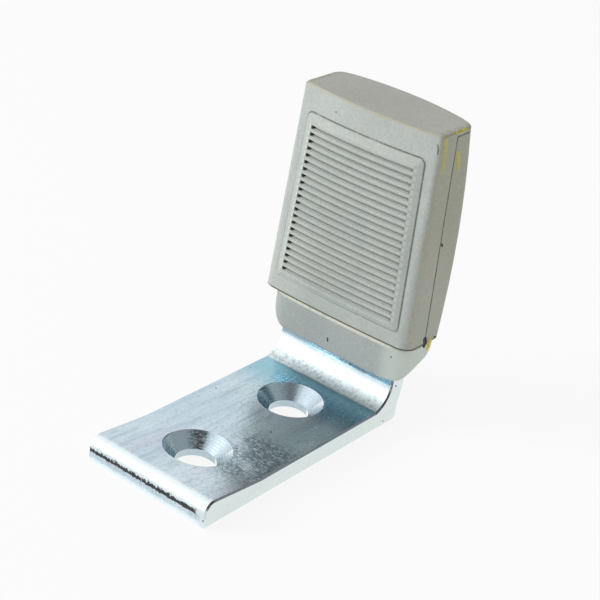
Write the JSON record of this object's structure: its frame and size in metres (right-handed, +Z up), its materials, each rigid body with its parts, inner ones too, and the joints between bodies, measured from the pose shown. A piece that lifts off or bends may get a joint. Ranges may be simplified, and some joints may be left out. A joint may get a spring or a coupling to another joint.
{
  "type": "floor door stop",
  "caption": "Floor door stop: a steel angle screwed to the floor, its upright leg cased in a rubber head with a ribbed face that catches the door.",
  "frame": {"origin": "on the floor under the foot, midway between the two screw holes", "axes": "+Z up from the floor, -Y from the holes' middle towards the nose of the foot, so the ribbed face looks to -Y; X across the bar, which the part mirrors in"},
  "size_m": [0.0318, 0.0595, 0.0559],
  "materials": {
    "zinc_plated_steel": "bright zinc plate with fine drawn marks",
    "grey_rubber": "smooth matt moulding",
    "collar_rubber": "smooth matt moulding"
  },
  "bodies": {
    "root": {"bracket": "zinc_plated_steel", "front_pad": "grey_rubber", "rear_pad": "grey_rubber", "collar": "collar_rubber"}
  },
  "joints": []
}
